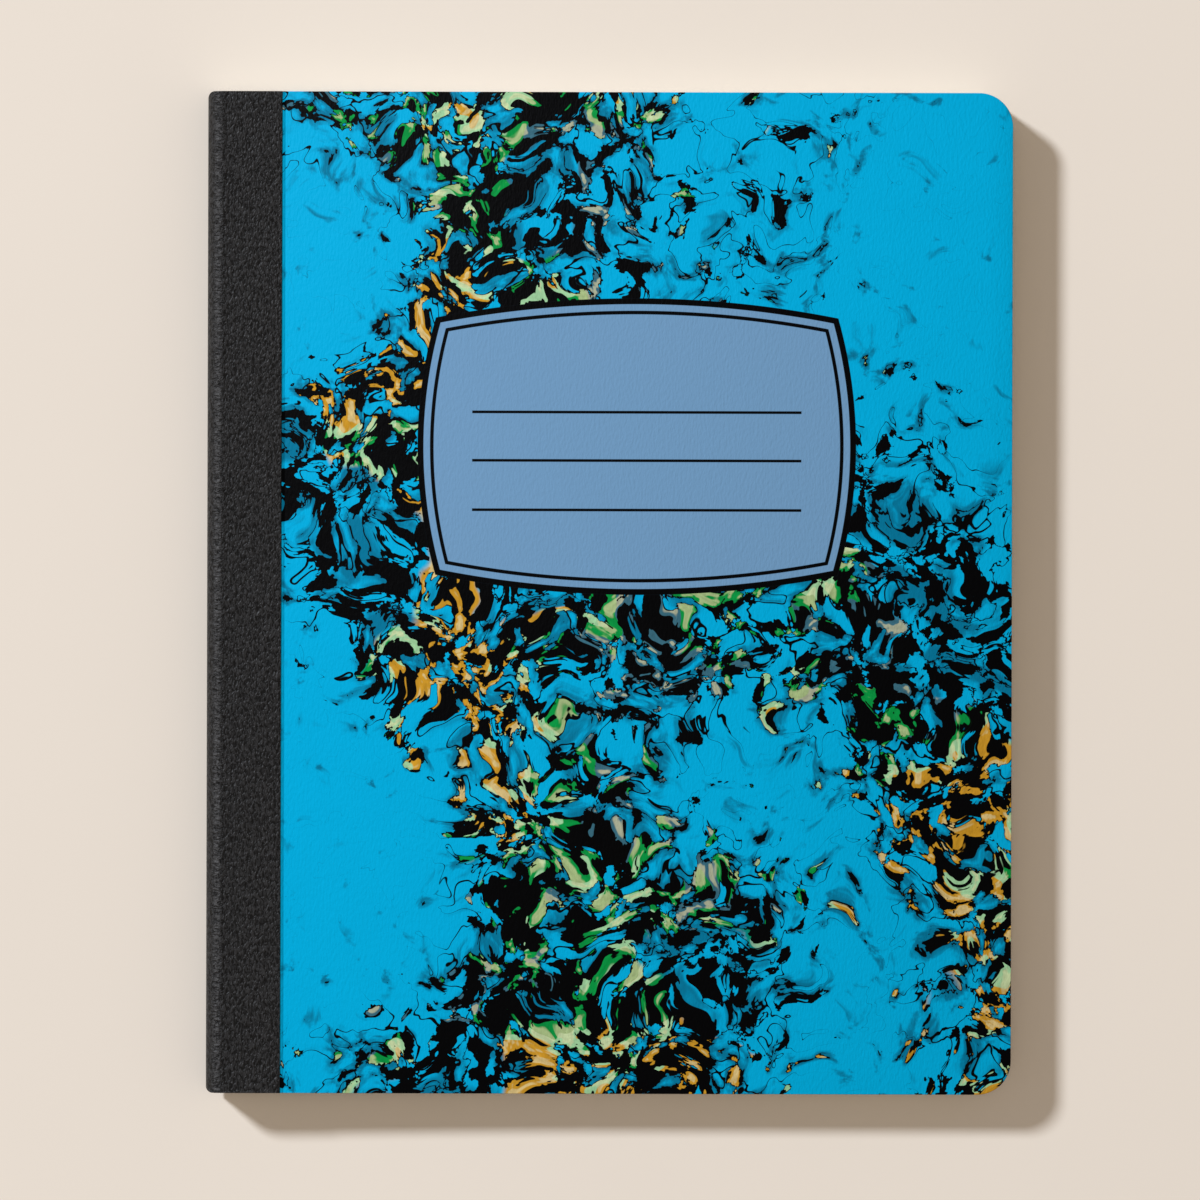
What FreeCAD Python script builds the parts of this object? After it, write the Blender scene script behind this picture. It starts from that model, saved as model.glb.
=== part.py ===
import FreeCAD, Part

import math
import os

import Sketcher
from FreeCAD import Placement, Rotation, Vector

# A sewn composition notebook, closed and lying on its back cover, in millimetres.
# +X runs from the spine to the fore-edge, +Y to the head and +Z up through the front cover.
# The origin is the middle of the closed notebook's footprint, at the height it lies on.
# Every body is drawn in the spine's frame, with X measured from the outside of the spine and Z from
# the lowest face, and its placement then carries it to the middle of the footprint.

SIZES = [
    ("book_height", 242.2, "head to tail"),
    ("book_width", 194.8, "outside of the spine to the fore-edge"),
    ("pages_thick", 9.5, "a hundred leaves between the covers"),
    ("board_thick", 0.9, "pressed board of each cover"),
    ("tape_thick", 0.2, "binding tape"),
    ("tape_reach", 18.1, "outside of the spine to the tape's edge on a cover"),
    ("fore_corner_radius", 8.2, "rounded corners at the fore-edge"),
    ("spine_corner_radius", 1.7, "small rounding of the spine's two ends, seen from above"),
    ("spine_fold_radius", 4.1, "outside of the tape where it turns onto a cover"),
    ("hinge_reach", 5.3, "outside of the spine to the line a cover turns on"),
    ("hinge_gap", 0.3, "from that line to the board's spine edge"),
    ("board_edge_radius", 0.2, "eased outer edge of a trimmed board"),
    ("score_reach", 0.8, "tape's edge to the middle of the pressed line beside it"),
    ("score_width", 0.6, "pressed line across"),
    ("score_depth", 0.1, "pressed line deep"),
    ("thread_width", 0.6, "sewing thread across"),
    ("thread_cover", 0.05, "thread to the tape that hides it"),
    ("needle_room", 0.15, "clearance around the thread in the paper"),
    ("stitch_length", 9.0, "one stitch along the fold"),
    ("stitch_margin", 8.0, "least distance from the sewing to head and tail"),
]

# how a sketch numbers the points of a line or arc, and its own origin
START = 1
END = 2
CENTRE = 3
ORIGIN = (-1, 1)
UP = Vector(0, 0, 1)
# two coordinates nearer than this are the same place
CLOSE = 1e-4


class Size:
    """A length worked out from the sheet: its number now, and the expression that keeps it tied."""

    def __init__(self, value, text):
        self.value = value
        self.text = text

    def joined(self, sign, other, value):
        other_text = other.text if isinstance(other, Size) else str(other)
        return Size(value, f"({self.text} {sign} {other_text})")

    def __add__(self, other):
        return self.joined("+", other, self.value + number(other))

    def __sub__(self, other):
        return self.joined("-", other, self.value - number(other))

    def __mul__(self, other):
        return self.joined("*", other, self.value * number(other))

    def __truediv__(self, other):
        return self.joined("/", other, self.value / number(other))


def number(value):
    return value.value if isinstance(value, Size) else value


def at_most(size, limit):
    return Size(min(size.value, limit.value), f"min({size.text}; {limit.text})")


def whole(size):
    return Size(int(size.value), f"floor({size.text})")


ZERO = Size(0.0, "0")


def make_sheet(doc):
    """Writes the driving dimensions to the sheet, one named cell each."""
    sheet = doc.addObject("Spreadsheet::Sheet", "sizes")
    for row, (alias, value, meaning) in enumerate(SIZES, start=1):
        sheet.set(f"A{row}", meaning)
        sheet.set(f"B{row}", str(value))
        sheet.setAlias(f"B{row}", alias)
    doc.recompute()
    return sheet


class Book:
    """The sizes of the sheet, and the places that several pieces share."""

    def __init__(self, sheet):
        for alias, _, _ in SIZES:
            setattr(self, alias, Size(float(sheet.get(alias)), f"sizes.{alias}"))
        # heights of the layers, from the lowest face up
        self.back_board_bottom = self.tape_thick
        self.pages_bottom = self.back_board_bottom + self.board_thick
        self.pages_top = self.pages_bottom + self.pages_thick
        self.front_board_top = self.pages_top + self.board_thick
        self.top = self.front_board_top + self.tape_thick
        self.middle = self.top / 2
        # distances from the outside of the spine
        self.board_start = self.hinge_reach + self.hinge_gap
        self.score_line = self.tape_reach + self.score_reach
        self.thread_line = self.tape_thick + self.thread_cover + self.thread_width / 2
        self.centre_fold = self.tape_thick + self.board_thick + self.pages_thick / 2
        # the tape's fold, no larger than the wall it turns round allows
        self.fold_outside = at_most(self.spine_fold_radius, self.middle - self.tape_thick)
        self.fold_inside = self.fold_outside - self.tape_thick


def bind(thing, path, size):
    """Sets a property from a size and ties it to the sheet."""
    thing.setExpression(path, size.text)


def origin_plane(body, role):
    return next(part for part in body.Origin.OriginFeatures if part.Role == role)


def new_body(doc, label, book):
    """An empty body whose frame sits at the outside of the spine."""
    body = doc.addObject("PartDesign::Body", label)
    body.Label = label
    body.Placement = Placement(Vector(-book.book_width.value / 2, 0, 0), Rotation())
    bind(body, "Placement.Base.x", ZERO - book.book_width / 2)
    return body


def new_sketch(body, name, role):
    sketch = body.newObject("Sketcher::SketchObject", name)
    sketch.AttachmentSupport = (origin_plane(body, role), [""])
    sketch.MapMode = "FlatFace"
    return sketch


def dimension(sketch, kind, *arguments):
    """Adds a constraint whose last argument is a size, and ties its value to the sheet."""
    size = arguments[-1]
    index = sketch.addConstraint(Sketcher.Constraint(kind, *arguments[:-1], size.value))
    bind(sketch, f"Constraints[{index}]", size)


def place_point(sketch, geometry, end, x, y):
    """Holds one point of the sketch at x and y from the sketch's origin."""
    dimension(sketch, "DistanceX", *ORIGIN, geometry, end, x)
    dimension(sketch, "DistanceY", *ORIGIN, geometry, end, y)


def point(x, y):
    return Vector(x.value, y.value, 0)


def draw_lines(sketch, corners):
    """Straight lines from corner to corner, left open. Returns the number of the last line."""
    for here, there in zip(corners, corners[1:]):
        last = sketch.addGeometry(Part.LineSegment(point(*here), point(*there)))
    for side in range(last):
        sketch.addConstraint(Sketcher.Constraint("Coincident", side, END, side + 1, START))
    for side, (x, y) in enumerate(corners[:-1]):
        place_point(sketch, side, START, x, y)
    place_point(sketch, last, END, *corners[-1])
    return last


def draw_polygon(sketch, corners):
    """A closed outline with straight sides, given by its corners."""
    last = draw_lines(sketch, corners)
    closing = sketch.addGeometry(Part.LineSegment(point(*corners[-1]), point(*corners[0])))
    sketch.addConstraint(Sketcher.Constraint("Coincident", last, END, closing, START))
    sketch.addConstraint(Sketcher.Constraint("Coincident", closing, END, 0, START))


def draw_circle(sketch, x, y, radius):
    geometry = sketch.addGeometry(Part.Circle(point(x, y), UP, radius.value))
    place_point(sketch, geometry, CENTRE, x, y)
    dimension(sketch, "Radius", geometry, radius)


def pad_section(body, name, corners, book):
    """A section drawn in X and Z, padded from tail to head."""
    sketch = new_sketch(body, f"{name}_section", "XZ_Plane")
    draw_polygon(sketch, corners)
    pad = body.newObject("PartDesign::Pad", f"{name}_pad")
    pad.Profile = sketch
    pad.SideType = "Symmetric"
    bind(pad, "Length", book.book_height)
    body.Document.recompute()
    return pad


def cut_through(body, name, sketch):
    """Cuts the sketch's outline through the whole body, on both sides of the sketch."""
    pocket = body.newObject("PartDesign::Pocket", name)
    pocket.Profile = sketch
    pocket.SideType = "Symmetric"
    pocket.Type = "ThroughAll"
    body.Document.recompute()
    return pocket


def find_edges(feature, test):
    """Names of the feature's edges for which the test holds."""
    edges = enumerate(feature.Shape.Edges, start=1)
    return [f"Edge{index}" for index, edge in edges if test(edge)]


def is_upright(edge):
    box = edge.BoundBox
    return box.XLength < CLOSE and box.YLength < CLOSE


def is_lengthwise(edge):
    box = edge.BoundBox
    return box.XLength < CLOSE and box.ZLength < CLOSE


def fillet(body, name, base, edges, radius):
    """Rounds the named edges and checks that something was rounded."""
    if not edges:
        raise RuntimeError(f"{name}: no edge to round")
    rounding = body.newObject("PartDesign::Fillet", name)
    rounding.Base = (base, edges)
    bind(rounding, "Radius", radius)
    body.Document.recompute()
    return rounding


def round_fore_corners(body, base, book):
    """Rounds the two upright edges where the fore-edge meets head and tail."""
    right = base.Shape.BoundBox.XMax
    edges = find_edges(base, lambda e: is_upright(e) and abs(e.BoundBox.XMax - right) < CLOSE)
    return fillet(body, f"{body.Label}_fore_corners", base, edges, book.fore_corner_radius)


def cut_spine_corner(body, book):
    """Trims one end of the spine to a quarter circle, seen from above, and mirrors the cut."""
    radius = book.spine_corner_radius
    half = book.book_height / 2
    before = body.Tip.Shape.Volume
    sketch = new_sketch(body, f"{body.Label}_corner_outline", "XY_Plane")
    corners = [
        (radius, half),
        (radius, half + radius),
        (ZERO - radius, half + radius),
        (ZERO - radius, half - radius),
        (ZERO, half - radius),
    ]
    last = draw_lines(sketch, corners)
    circle = Part.Circle(point(radius, half - radius), UP, radius.value)
    arc = sketch.addGeometry(Part.ArcOfCircle(circle, math.pi / 2, math.pi))
    sketch.addConstraint(Sketcher.Constraint("Coincident", arc, START, 0, START))
    sketch.addConstraint(Sketcher.Constraint("Coincident", arc, END, last, END))
    dimension(sketch, "Radius", arc, radius)
    pocket = cut_through(body, f"{body.Label}_corner_cut", sketch)
    mirrored = body.newObject("PartDesign::Mirrored", f"{body.Label}_corner_mirror")
    mirrored.Originals = [pocket]
    mirrored.MirrorPlane = (origin_plane(body, "XZ_Plane"), [""])
    body.Tip = mirrored
    body.Document.recompute()
    if not mirrored.Shape.Volume < pocket.Shape.Volume < before:
        raise RuntimeError(f"{body.Label}: a spine corner wasn't cut")
    return mirrored


def press_score_line(body, base, book):
    """The shallow round-bottomed line pressed beside the tape, along the board's outer face."""
    half = book.score_width / 2
    radius = (half * half / book.score_depth + book.score_depth) / 2
    sketch = new_sketch(body, f"{body.Label}_score_section", "XZ_Plane")
    draw_circle(sketch, book.score_line, book.board_thick + radius - book.score_depth, radius)
    pocket = cut_through(body, f"{body.Label}_score_line", sketch)
    if not pocket.Shape.Volume < base.Shape.Volume:
        raise RuntimeError(f"{body.Label}: the score line wasn't cut")
    return pocket


def make_board(doc, label, book):
    """One cover board, its outer face up: rounded fore corners, eased outer edge and score line."""
    body = new_body(doc, label, book)
    corners = [
        (book.board_start, ZERO),
        (book.book_width, ZERO),
        (book.book_width, book.board_thick),
        (book.board_start, book.board_thick),
    ]
    pad = pad_section(body, label, corners, book)
    rounded = round_fore_corners(body, pad, book)
    spine_side = rounded.Shape.BoundBox.XMin
    outer = rounded.Shape.BoundBox.ZMax

    def on_trimmed_rim(edge):
        box = edge.BoundBox
        return box.ZMin > outer - CLOSE and box.XMax > spine_side + CLOSE

    edges = find_edges(rounded, on_trimmed_rim)
    eased = fillet(body, f"{label}_eased_edge", rounded, edges, book.board_edge_radius)
    press_score_line(body, eased, book)
    return body


def make_front_board(doc, book):
    body = make_board(doc, "front_board", book)
    bind(body, "Placement.Base.z", book.pages_top)
    return body


def make_back_board(doc, book):
    """The same board as the front one, turned over about X so that its outer face looks down."""
    body = make_board(doc, "back_board", book)
    body.Placement = Placement(body.Placement.Base, Rotation(Vector(1, 0, 0), 180))
    bind(body, "Placement.Base.z", book.pages_bottom)
    return body


def draw_stitch_path(sketch, book):
    """Two stitches of the sewing: half outside the fold, one inside it, half outside again."""
    length = book.stitch_length
    outside = book.thread_line
    inside = book.centre_fold
    corners = [
        (outside, ZERO),
        (outside, length / 2),
        (inside, length / 2),
        (inside, length / 2 + length),
        (outside, length / 2 + length),
        (outside, length * 2),
    ]
    draw_lines(sketch, corners)


def draw_thread_section(sketch, book):
    draw_circle(sketch, book.thread_line, book.middle, book.thread_width / 2)


def draw_needle_hole(sketch, book):
    """The square way through the leaves, with room on every side of the thread."""
    half = book.thread_width / 2 + book.needle_room
    near, far = book.thread_line - half, book.thread_line + half
    low, high = book.middle - half, book.middle + half
    draw_polygon(sketch, [(near, low), (far, low), (far, high), (near, high)])


def sew(body, kind, draw_section, book):
    """Runs the given section in stitches along the fold, added to the body or cut from it."""
    pairs = whole((book.book_height - book.stitch_margin * 2) / (book.stitch_length * 2))
    lowest = pairs * book.stitch_length
    path = new_sketch(body, f"{body.Label}_stitch_path", "XY_Plane")
    bind(path, "AttachmentOffset.Base.y", ZERO - lowest)
    bind(path, "AttachmentOffset.Base.z", book.middle)
    draw_stitch_path(path, book)
    # the XZ plane looks towards -Y, so this offset is measured towards the tail
    profile = new_sketch(body, f"{body.Label}_stitch_section", "XZ_Plane")
    bind(profile, "AttachmentOffset.Base.z", lowest)
    draw_section(profile, book)
    body.Document.recompute()
    pipe = body.newObject(f"PartDesign::{kind}Pipe", f"{body.Label}_stitch")
    pipe.Profile = profile
    pipe.Spine = path
    pipe.Transition = "Right corner"
    body.Document.recompute()
    pattern = body.newObject("PartDesign::LinearPattern", f"{body.Label}_stitches")
    pattern.Originals = [pipe]
    pattern.Direction = (path, ["V_Axis"])
    bind(pattern, "Length", book.stitch_length * 2 * (pairs - 1))
    bind(pattern, "Occurrences", pairs)
    body.Tip = pattern
    body.Document.recompute()
    return pattern


def make_page_block(doc, book):
    """The sewn leaves: flush with the boards at three edges, swollen to the boards' full height
    behind the hinge lines, rounded at the fold and pierced for the thread."""
    body = new_body(doc, "page_block", book)
    back = book.tape_thick
    corners = [
        (back, book.back_board_bottom),
        (book.hinge_reach, book.back_board_bottom),
        (book.hinge_reach, book.pages_bottom),
        (book.book_width, book.pages_bottom),
        (book.book_width, book.pages_top),
        (book.hinge_reach, book.pages_top),
        (book.hinge_reach, book.front_board_top),
        (back, book.front_board_top),
    ]
    pad = pad_section(body, "page_block", corners, book)
    rounded = round_fore_corners(body, pad, book)
    left = rounded.Shape.BoundBox.XMin
    edges = find_edges(rounded, lambda e: is_lengthwise(e) and e.BoundBox.XMax < left + CLOSE)
    fillet(body, "page_block_fold", rounded, edges, book.fold_inside)
    cut_spine_corner(body, book)
    uncut = body.Tip.Shape.Volume
    sewn = sew(body, "Subtractive", draw_needle_hole, book)
    if not sewn.Shape.Volume < uncut:
        raise RuntimeError("page_block: the needle holes weren't cut")
    return body


def make_sewing_thread(doc, book):
    body = new_body(doc, "sewing_thread", book)
    sew(body, "Additive", draw_thread_section, book)
    return body


def make_tape_spine(doc, book):
    """The tape round the spine, from one hinge line to the other."""
    body = new_body(doc, "tape_spine", book)
    inside = book.tape_thick
    corners = [
        (ZERO, ZERO),
        (book.hinge_reach, ZERO),
        (book.hinge_reach, book.back_board_bottom),
        (inside, book.back_board_bottom),
        (inside, book.front_board_top),
        (book.hinge_reach, book.front_board_top),
        (book.hinge_reach, book.top),
        (ZERO, book.top),
    ]
    pad = pad_section(body, "tape_spine", corners, book)
    wall = book.tape_thick.value
    # the inner fold comes first, because the outer one alone would cut through the thin wall
    inner_edges = find_edges(
        pad, lambda e: is_lengthwise(e) and abs(e.BoundBox.XMax - wall) < CLOSE
    )
    inner = fillet(body, "tape_spine_inner_fold", pad, inner_edges, book.fold_inside)
    outer_edges = find_edges(inner, lambda e: is_lengthwise(e) and e.BoundBox.XMax < CLOSE)
    fillet(body, "tape_spine_outer_fold", inner, outer_edges, book.fold_outside)
    cut_spine_corner(body, book)
    return body


def make_tape_flap(doc, label, bottom, book):
    """The tape glued on one cover, from the hinge line to the tape's edge."""
    body = new_body(doc, label, book)
    corners = [
        (book.hinge_reach, bottom),
        (book.tape_reach, bottom),
        (book.tape_reach, bottom + book.tape_thick),
        (book.hinge_reach, bottom + book.tape_thick),
    ]
    pad_section(body, label, corners, book)
    return body


def check(doc, bodies):
    """Stops the build if a feature failed or a body isn't one sound closed solid."""
    for thing in doc.Objects:
        if "Invalid" in thing.State or "Error" in thing.State:
            raise RuntimeError(f"{thing.Label} failed: {thing.State}")
    for body in bodies:
        shape = body.Shape
        if shape.isNull() or not shape.isValid() or len(shape.Solids) != 1:
            raise RuntimeError(f"{body.Label} isn't one sound solid")


def main():
    doc = FreeCAD.newDocument("composition_notebook")
    book = Book(make_sheet(doc))
    bodies = [
        make_page_block(doc, book),
        make_sewing_thread(doc, book),
        make_front_board(doc, book),
        make_back_board(doc, book),
        make_tape_spine(doc, book),
        make_tape_flap(doc, "tape_front_flap", book.front_board_top, book),
        make_tape_flap(doc, "tape_back_flap", ZERO, book),
    ]
    doc.recompute()
    check(doc, bodies)
    os.makedirs("parts", exist_ok=True)
    for body in bodies:
        body.Shape.exportStep(f"parts/{body.Label}.step")
        box = body.Shape.BoundBox
        print(
            f"{body.Label}: volume {body.Shape.Volume:.1f} mm3,"
            f" x {box.XMin:.2f}..{box.XMax:.2f}, y {box.YMin:.2f}..{box.YMax:.2f},"
            f" z {box.ZMin:.2f}..{box.ZMax:.2f}, faces {len(body.Shape.Faces)}"
        )


main()
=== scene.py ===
import math

import bmesh
import bpy
import numpy as np
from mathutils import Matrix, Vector


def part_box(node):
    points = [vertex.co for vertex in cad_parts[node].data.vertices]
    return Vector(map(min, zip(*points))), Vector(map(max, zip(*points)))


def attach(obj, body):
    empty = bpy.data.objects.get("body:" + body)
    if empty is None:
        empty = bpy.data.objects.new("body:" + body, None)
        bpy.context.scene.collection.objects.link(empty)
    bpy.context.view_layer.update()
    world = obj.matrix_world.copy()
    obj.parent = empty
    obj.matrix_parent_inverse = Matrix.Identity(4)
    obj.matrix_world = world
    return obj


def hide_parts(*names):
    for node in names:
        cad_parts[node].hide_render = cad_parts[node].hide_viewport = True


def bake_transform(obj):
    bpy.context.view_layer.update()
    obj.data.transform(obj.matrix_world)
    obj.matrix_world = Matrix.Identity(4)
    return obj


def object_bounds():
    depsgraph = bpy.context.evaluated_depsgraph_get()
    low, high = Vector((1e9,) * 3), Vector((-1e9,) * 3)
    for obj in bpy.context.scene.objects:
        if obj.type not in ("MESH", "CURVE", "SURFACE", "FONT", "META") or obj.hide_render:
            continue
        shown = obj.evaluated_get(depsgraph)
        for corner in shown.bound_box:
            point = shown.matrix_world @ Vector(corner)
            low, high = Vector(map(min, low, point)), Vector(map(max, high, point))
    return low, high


# The looks of a sewn composition notebook, in metres, in the frame of its solids:
# +X from the spine to the fore-edge, +Y to the head, +Z up through the front cover.

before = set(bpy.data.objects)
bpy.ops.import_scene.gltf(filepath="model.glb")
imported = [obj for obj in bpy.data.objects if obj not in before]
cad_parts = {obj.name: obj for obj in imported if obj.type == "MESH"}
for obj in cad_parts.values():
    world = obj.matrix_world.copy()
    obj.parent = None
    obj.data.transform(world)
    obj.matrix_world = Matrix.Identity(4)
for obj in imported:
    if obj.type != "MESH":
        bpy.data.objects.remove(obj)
cad_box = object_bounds()

MM = 0.001
LOW, HIGH = cad_box
SPINE_X = LOW.x
FORE_X = HIGH.x
HALF_HEIGHT = HIGH.y
TOP = HIGH.z
MIDDLE = (LOW.z + HIGH.z) / 2

BOARD_LOW, BOARD_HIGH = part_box("front_board")
FLAP_LOW, FLAP_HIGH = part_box("tape_front_flap")
BOARD_THICK = BOARD_HIGH.z - BOARD_LOW.z
TAPE_THICK = FLAP_HIGH.z - FLAP_LOW.z
PAGES_THICK = 2 * (BOARD_LOW.z - MIDDLE)
SWELL_THICK = 2 * (BOARD_HIGH.z - MIDDLE)
HINGE_X = FLAP_LOW.x
BOARD_START_X = BOARD_LOW.x
TAPE_EDGE_X = FLAP_HIGH.x

# sizes that the solids have too, but that their boxes don't tell
FORE_CORNER_RADIUS = 8.2 * MM
SPINE_CORNER_RADIUS = 1.7 * MM
FOLD_RADIUS = 4.1 * MM
EASED_RADIUS = 0.2 * MM
SCORE_X = TAPE_EDGE_X + 0.8 * MM
SCORE_WIDTH = 0.6 * MM
SCORE_DEPTH = 0.1 * MM

# colours, as 0 to 255 values
TURQUOISE = (0, 165, 211)
INK = (3, 3, 4)
LABEL_BLUE = (107, 147, 182)
OCHRE = (190, 140, 38)
PALE_GREEN = (150, 196, 148)
LEAF_GREEN = (8, 140, 62)
SLATE = (54, 100, 116)
SAND = (214, 208, 160)
VEIL = (6, 74, 100)
# the tape: black with painted shade in the pebbles' valleys, lighter pebble tops as painted highlight,
# and a lighter ridge as wear and painted highlight
TAPE_SHADED_VALLEY = (3, 3, 4)
TAPE_LIT_PEBBLE = (42, 42, 43)
TAPE_WORN_AND_LIT = (79, 79, 80)
PAPER = (232, 229, 218)
BOARD_GREY = (170, 163, 150)
THREAD_WHITE = (230, 227, 216)
RULE_BLUE = (112, 164, 206)
MARGIN_RED = (212, 92, 104)
FLOOR_CREAM = (234, 224, 211)


def linear(colour):
    """A colour of 0 to 255 values as the linear values that a shader takes."""
    shares = [value / 255 for value in colour]
    light = [s / 12.92 if s <= 0.04045 else ((s + 0.055) / 1.055) ** 2.4 for s in shares]
    return (*light, 1.0)


class Shader:
    """A material under construction: each method adds a node and returns what comes out of it.
    Places and sizes are in millimetres."""

    def __init__(self, name):
        self.material = bpy.data.materials.new(name)
        self.material.use_nodes = True
        self.tree = self.material.node_tree
        self.surface = self.tree.nodes["Principled BSDF"]

    def add(self, kind, inputs=(), **settings):
        node = self.tree.nodes.new(kind)
        for key, value in settings.items():
            setattr(node, key, value)
        for key, value in dict(inputs).items():
            self.feed(node.inputs[key], value)
        return node

    def feed(self, socket, value):
        if isinstance(value, bpy.types.NodeSocket):
            self.tree.links.new(value, socket)
        else:
            socket.default_value = value

    def math(self, operation, first, second=0.0, third=0.0):
        inputs = {0: first, 1: second, 2: third}
        return self.add("ShaderNodeMath", inputs, operation=operation).outputs[0]

    def vector(self, operation, first, second=(0.0, 0.0, 0.0)):
        inputs = {0: first, 1: second}
        return self.add("ShaderNodeVectorMath", inputs, operation=operation).outputs[0]

    def millimetres(self):
        """The place on the book."""
        place = self.add("ShaderNodeTexCoord").outputs["Object"]
        return self.vector("MULTIPLY", place, (1 / MM, 1 / MM, 1 / MM))

    def map_millimetres(self, name):
        """The place on the piece's own flat map."""
        place = self.add("ShaderNodeUVMap", uv_map=name).outputs["UV"]
        return self.vector("MULTIPLY", place, (1 / MM, 1 / MM, 1 / MM))

    def stretch(self, place, x, y, z=1.0):
        return self.vector("MULTIPLY", place, (x, y, z))

    def shift(self, place, x, y, z=0.0):
        return self.vector("ADD", place, (x, y, z))

    def split(self, place):
        return self.add("ShaderNodeSeparateXYZ", {0: place}).outputs

    def distance(self, value, line):
        """How far the value is from the line, to either side."""
        return self.math("ABSOLUTE", self.math("SUBTRACT", value, line))

    def noise(self, place, size, detail=2.0, roughness=0.5, output="Fac", distortion=0.0):
        """Soft noise whose lumps are about as large as the size."""
        inputs = {"Vector": place, "Scale": 1 / size, "Detail": detail}
        inputs.update({"Roughness": roughness, "Distortion": distortion})
        return self.add("ShaderNodeTexNoise", inputs).outputs[output]

    def ramp(self, value, low, high, start=0.0, end=1.0, kind="LINEAR"):
        """Carries low..high over to start..end and holds the ends beyond."""
        inputs = {"Value": value, "From Min": low, "From Max": high, "To Min": start, "To Max": end}
        return self.add("ShaderNodeMapRange", inputs, interpolation_type=kind).outputs["Result"]

    def step(self, value, low, high):
        """0 below low and 1 above high, with a smooth rise between; falls if low is above high."""
        if low > high:
            return self.ramp(value, high, low, 1.0, 0.0, "SMOOTHSTEP")
        return self.ramp(value, low, high, 0.0, 1.0, "SMOOTHSTEP")

    def mix(self, share, first, second):
        """Colour first where share is 0, second where it is 1."""
        node = self.add("ShaderNodeMix", data_type="RGBA")
        self.feed(node.inputs["Factor"], share)
        self.feed(node.inputs["A"], first)
        self.feed(node.inputs["B"], second)
        return node.outputs["Result"]

    def vary(self, colour, share, amount):
        """Makes a colour lighter and darker by the amount as share runs from 0 to 1."""
        level = self.ramp(share, 0.0, 1.0, 1 - amount, 1 + amount)
        start = colour if isinstance(colour, bpy.types.NodeSocket) else colour[:3]
        inputs = {0: start, "Scale": level}
        return self.add("ShaderNodeVectorMath", inputs, operation="SCALE").outputs[0]

    def relief(self, height, depth):
        """Bends the surface's light as if it stood up by the height, whose 1 is depth metres."""
        node = self.add("ShaderNodeBump", {"Height": height, "Distance": depth, "Strength": 1.0})
        return node.outputs["Normal"]

    def finish(self, colour, roughness, normal=None, specular=0.5):
        self.feed(self.surface.inputs["Base Color"], colour)
        self.feed(self.surface.inputs["Roughness"], roughness)
        self.feed(self.surface.inputs["Specular IOR Level"], specular)
        if normal is not None:
            self.feed(self.surface.inputs["Normal"], normal)
        return self.material


# The label: four shallow arcs that meet in points, in millimetres from the middle of the cover.
LABEL_X = 6.6
LABEL_Y = 35.4
LABEL_HALF_WIDTH = 52.95
LABEL_HALF_HEIGHT = 35.8
LABEL_SIDE_RADIUS = 113.0
LABEL_TOP_RADIUS = 251.0
LABEL_BORDER = 1.38
LABEL_BAND = 2.95
LABEL_INNER_LINE = 0.88
LABEL_RULES = (8.3, -3.4, -15.35)
LABEL_RULE_HALF_LENGTH = 39.8
LABEL_RULE_WIDTH = 0.66
PRINT_EDGE = 0.06


def label_depth(shader, across, up):
    """How far outside the label's outline a place is, in millimetres; negative within it."""
    arcs = [
        (1, 0, LABEL_HALF_WIDTH, LABEL_SIDE_RADIUS),
        (-1, 0, LABEL_HALF_WIDTH, LABEL_SIDE_RADIUS),
        (0, 1, LABEL_HALF_HEIGHT, LABEL_TOP_RADIUS),
        (0, -1, LABEL_HALF_HEIGHT, LABEL_TOP_RADIUS),
    ]
    depth = None
    for side_x, side_y, reach, radius in arcs:
        from_x = shader.math("SUBTRACT", across, side_x * (reach - radius))
        from_y = shader.math("SUBTRACT", up, side_y * (reach - radius))
        flat = shader.add("ShaderNodeCombineXYZ", {0: from_x, 1: from_y}).outputs[0]
        length = shader.add("ShaderNodeVectorMath", {0: flat}, operation="LENGTH").outputs["Value"]
        beyond = shader.math("SUBTRACT", length, radius)
        depth = beyond if depth is None else shader.math("MAXIMUM", depth, beyond)
    return depth


def band(shader, value, low, high):
    """1 where the value lies between low and high, with crisp printed edges."""
    above = shader.step(value, low - PRINT_EDGE, low + PRINT_EDGE)
    below = shader.step(value, high + PRINT_EDGE, high - PRINT_EDGE)
    return shader.math("MULTIPLY", above, below)


def print_label(shader, place, colour):
    """Prints the bare label with its double border and three ruled lines over the colour."""
    x, y, _ = shader.split(place)
    across = shader.math("SUBTRACT", x, LABEL_X)
    up = shader.math("SUBTRACT", y, LABEL_Y)
    depth = label_depth(shader, across, up)
    inside = shader.step(depth, PRINT_EDGE, -PRINT_EDGE)
    colour = shader.mix(inside, colour, linear(LABEL_BLUE))
    ink = band(shader, depth, -LABEL_BORDER, PRINT_EDGE)
    inner = band(shader, depth, -LABEL_BAND - LABEL_INNER_LINE, -LABEL_BAND)
    ink = shader.math("MAXIMUM", ink, inner)
    within = band(shader, across, -LABEL_RULE_HALF_LENGTH, LABEL_RULE_HALF_LENGTH)
    for height in LABEL_RULES:
        line = band(shader, up, height - LABEL_RULE_WIDTH / 2, height + LABEL_RULE_WIDTH / 2)
        ink = shader.math("MAXIMUM", ink, shader.math("MULTIPLY", line, within))
    return shader.mix(ink, colour, linear(INK))


# The marbling's noises: their sizes in millimetres, and shifts that keep one from following another.
DRIFT_SIZE = 105.0
SWIRL_SIZE = 22.0
SWIRL_REACH = 26.0
FLECK_SIZE = 6.0
VEIN_SIZE = 8.0
HEART_SIZE = 4.2
HEART_SHIFT = (61.0, 17.0)
SMOKE_SIZE = 9.0
SMOKE_SHIFT = (11.0, 83.0)
CLOUD_SIZE = 9.0
PLAIN_SIZE = 60.0
PLAIN_SHIFT = (140.0, 35.0)
FIELD_SIZE = 60.0
FIELD_SHIFT = (0.0, 230.0)
STRAY_SIZE = 5.0
STREAK_SIZE = 1.3

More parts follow.
